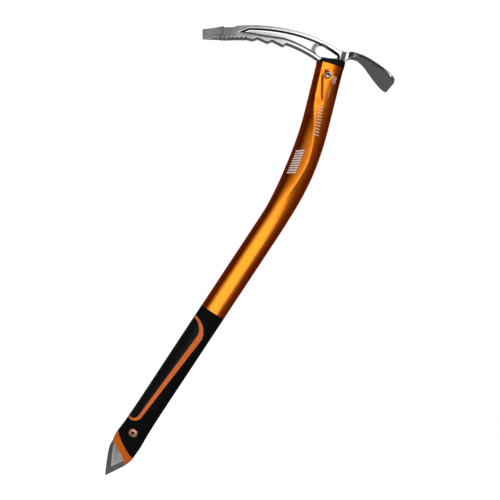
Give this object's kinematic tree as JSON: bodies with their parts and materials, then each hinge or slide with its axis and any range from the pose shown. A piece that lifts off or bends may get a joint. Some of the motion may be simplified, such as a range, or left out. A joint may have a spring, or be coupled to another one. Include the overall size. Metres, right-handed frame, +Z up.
{
  "type": "ice axe",
  "caption": "Ice axe with a forged steel head carrying a toothed pick and an adze, a bent orange aluminium shaft, a moulded black grip and a steel spike.",
  "frame": {"origin": "the point of the spike, on the mirror plane", "axes": "+Z runs up the straight lower shaft from the spike towards the head, -X is the pick side, +X is the adze side, and Y is across the thickness with Y = 0 the mirror plane"},
  "size_m": [0.2291, 0.049, 0.5952],
  "materials": {
    "forged_steel": "polished flanks with darker forged areas",
    "spike_steel": "ground satin",
    "orange_anodised": "satin anodised",
    "orange_polymer": "matte moulded",
    "black_rubber": "fine matte grain",
    "black_polymer": "matte moulded",
    "grey_polymer": "matte moulded",
    "rivet_steel": "bright satin",
    "rivet_copper": "satin copper"
  },
  "bodies": {
    "root": {"head_forging": "forged_steel", "head_collar": "black_polymer", "head_filler_near": "grey_polymer", "head_filler_far": "grey_polymer", "head_rivet": "rivet_steel", "shaft_tube": "orange_anodised", "grip_under_moulding": "orange_polymer", "grip_sleeve": "black_rubber", "grip_front_pad": "black_rubber", "spike_blade": "spike_steel", "spike_filler_near": "grey_polymer", "spike_filler_far": "grey_polymer", "spike_rivet": "rivet_copper"}
  },
  "joints": []
}
